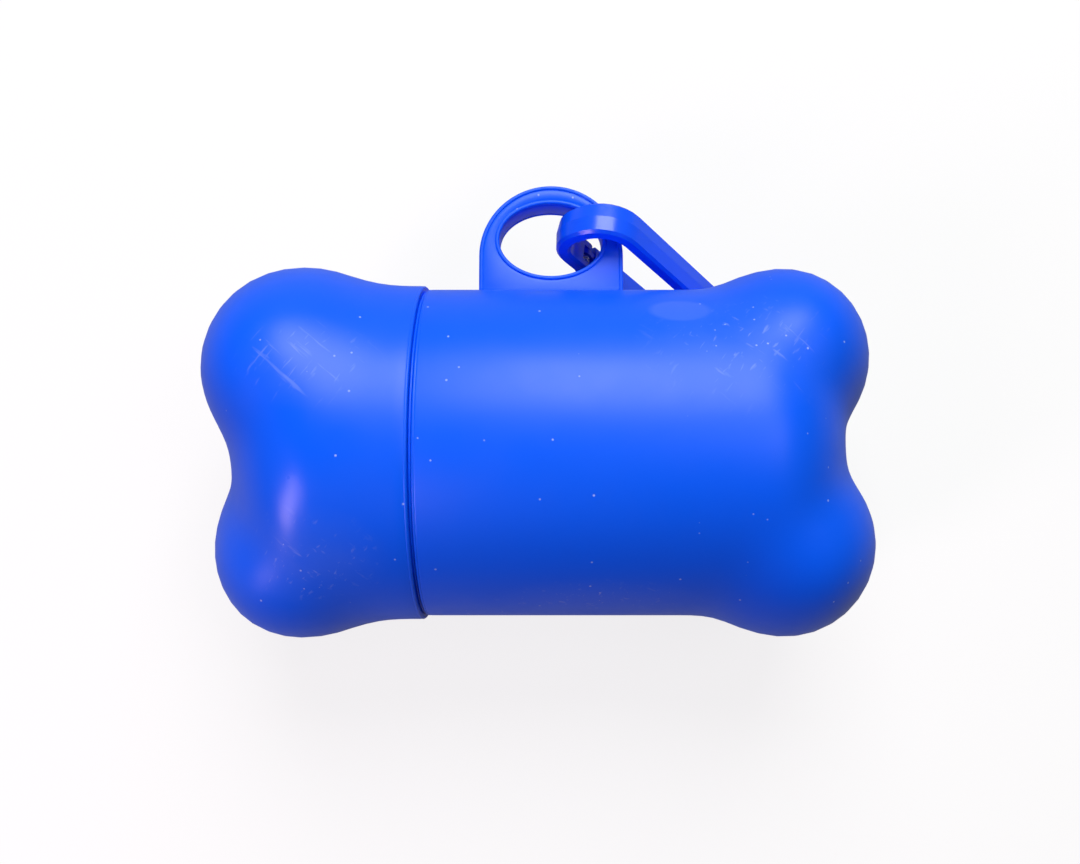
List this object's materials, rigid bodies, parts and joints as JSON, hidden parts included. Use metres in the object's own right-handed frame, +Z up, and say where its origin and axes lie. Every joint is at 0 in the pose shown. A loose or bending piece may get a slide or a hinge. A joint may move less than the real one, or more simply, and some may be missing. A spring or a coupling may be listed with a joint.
{
  "type": "dog poop bag dispenser",
  "caption": "Bone-shaped plastic dispenser for waste bags: screw cap, hanging tab, spring-gate clip and a roll inside.",
  "frame": {"origin": "on the floor, under the middle of the whole as it lies on its back", "axes": "+X along the barrel, away from the screw cap; +Y towards the hanging tab; +Z up"},
  "size_m": [0.0812, 0.0568, 0.0414],
  "materials": {
    "shell": "satin moulded polypropylene",
    "clip": "glossy moulded acetal",
    "steel": "bright drawn wire",
    "film": "wound thin film",
    "board": "spiral-wound cardboard"
  },
  "bodies": {
    "barrel": {"barrel": "shell"},
    "roll_core": {"roll_core": "board"},
    "cap": {"cap": "shell"},
    "bag_roll": {"bag_roll": "film"},
    "clip": {"clip_frame": "clip", "gate_pin": "steel"},
    "gate": {"clip_gate": "clip", "gate_spring": "steel"}
  },
  "joints": [
    {"name": "cap_travel", "type": "slide", "parent": "barrel", "child": "roll_core", "axis": [-1, 0, 0], "range_m": [0, 0.0075]},
    {"name": "cap_turn", "type": "hinge", "parent": "roll_core", "child": "cap", "pos_m": [0, -0.00553, 0.0207], "axis": [-1, 0, 0], "range_deg": [0, 540]},
    {"name": "roll_spin", "type": "hinge", "parent": "roll_core", "child": "bag_roll", "pos_m": [0, -0.00553, 0.0207], "axis": [1, 0, 0], "continuous": true},
    {"name": "clip_swing", "type": "hinge", "parent": "barrel", "child": "clip", "pos_m": [0.0034, 0.02127, 0.0207], "axis": [0, 0, 1], "range_deg": [0, 110]},
    {"name": "gate_open", "type": "hinge", "parent": "clip", "child": "gate", "pos_m": [0.00578, 0.02065, 0.01687], "axis": [-0.1299, -0.9536, 0.2717], "range_deg": [0, 25], "stiffness_Nm_per_rad": 0.004, "springref_deg": -17.19}
  ],
  "couplings": [
    {"joint": "cap_turn", "follows": "cap_travel", "rad_per_m": 1256.6}
  ]
}
